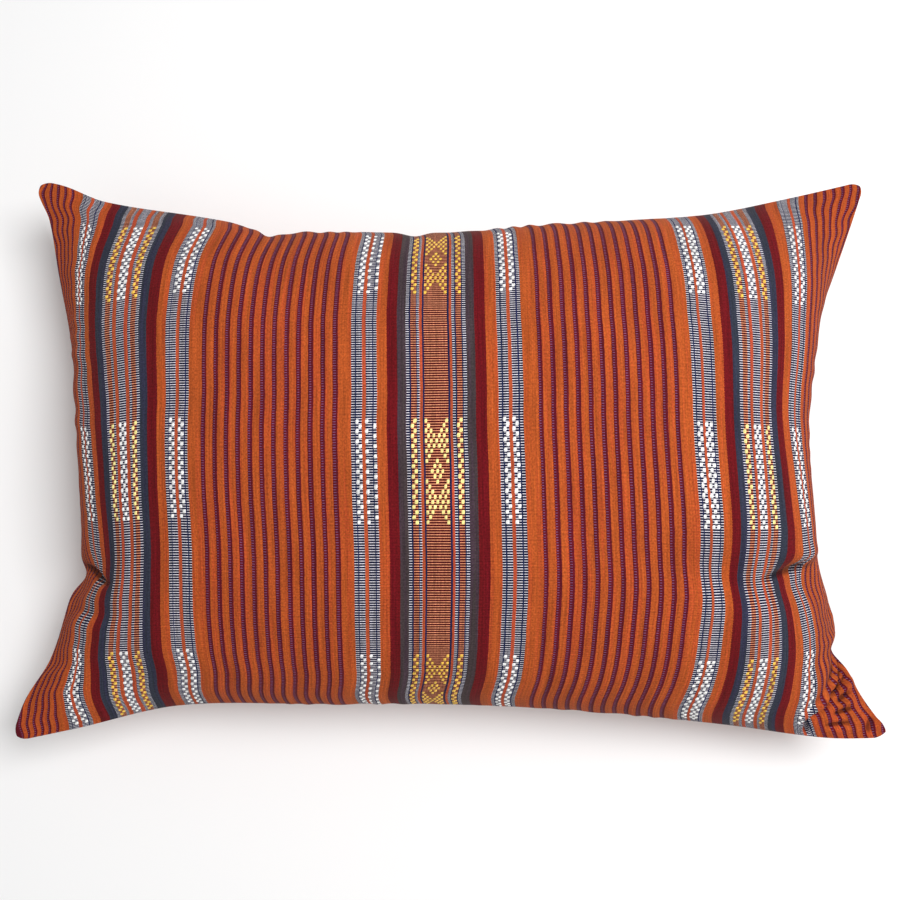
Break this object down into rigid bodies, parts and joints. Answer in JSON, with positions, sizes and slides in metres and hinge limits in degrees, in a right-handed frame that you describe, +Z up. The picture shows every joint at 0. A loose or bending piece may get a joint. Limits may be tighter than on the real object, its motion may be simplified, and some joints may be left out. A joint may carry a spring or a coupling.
{
  "type": "lumbar cushion",
  "caption": "Soft filled rectangular cushion in striped handwoven cloth, knife-edge seam, crowned faces, drawn-in sides and pulled-out corners, lying on its back.",
  "frame": {"origin": "under the middle of the cushion's bounding box, on the surface that it rests on", "axes": "+Z up, out of the patterned front; +X across the stripes, along the long side; +Y along the stripes"},
  "size_m": [0.6056, 0.3994, 0.158],
  "materials": {
    "cover_cloth": "matt warp-striped handwoven cotton, rust orange with purple, dark red, blue-grey, white and yellow"
  },
  "bodies": {
    "root": {"cushion": "cover_cloth"}
  },
  "joints": []
}
